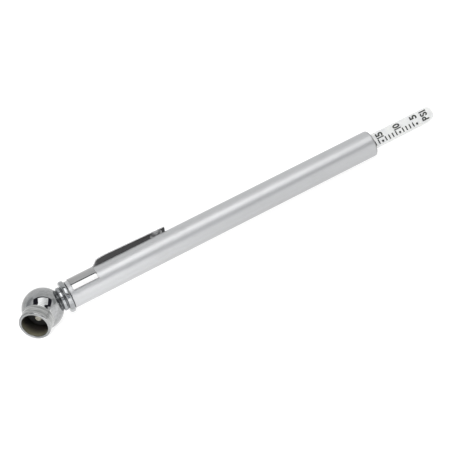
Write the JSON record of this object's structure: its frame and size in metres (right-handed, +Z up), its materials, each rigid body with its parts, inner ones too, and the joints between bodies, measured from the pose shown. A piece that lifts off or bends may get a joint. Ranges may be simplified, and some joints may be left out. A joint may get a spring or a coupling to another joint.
{
  "type": "tire pressure gauge",
  "caption": "Pencil tire pressure gauge: slim round barrel with a pocket clip, slanted ball chuck at one end and a sliding square scale bar at the other.",
  "frame": {"origin": "middle of the bounding box, on the surface that the gauge lies on", "axes": "+X along the barrel from the chuck to the scale bar, +Z up off the surface, the chuck's mouth looks towards -Y and -X"},
  "size_m": [0.1726, 0.0182, 0.0148],
  "materials": {
    "barrel_metal": "satin bright tube",
    "chrome": "polished plating on a die casting",
    "clip_steel": "polished plated spring steel",
    "inner_steel": "plain spring steel",
    "brass": "plain turned brass",
    "rubber": "matt moulded rubber",
    "pin_metal": "plain pin",
    "bar_nylon": "white translucent nylon, printed scale",
    "bush_nylon": "grey moulded nylon"
  },
  "bodies": {
    "barrel": {"barrel": "barrel_metal", "chuck_head": "chrome", "valve_seal": "rubber", "depressor_pin": "pin_metal", "spigot_ring": "rubber", "pocket_clip": "clip_steel", "main_spring": "inner_steel", "spring_stop": "inner_steel", "guide_bushing": "bush_nylon", "bar_brake": "inner_steel"},
    "piston": {"piston_body": "brass", "piston_cup": "rubber", "cup_washer": "inner_steel", "piston_rivet": "brass", "spring_seat": "inner_steel"},
    "indicator": {"indicator_bar": "bar_nylon"}
  },
  "joints": [
    {"name": "piston_slide", "type": "slide", "parent": "barrel", "child": "piston", "axis": [1, 0, 0], "range_m": [0, 0.0501], "stiffness_N_per_m": 282, "springref_m": -0.003, "deforming": ["main_spring"]},
    {"name": "bar_slide", "type": "slide", "parent": "piston", "child": "indicator", "axis": [1, 0, 0], "range_m": [-0.0264, 0]}
  ]
}
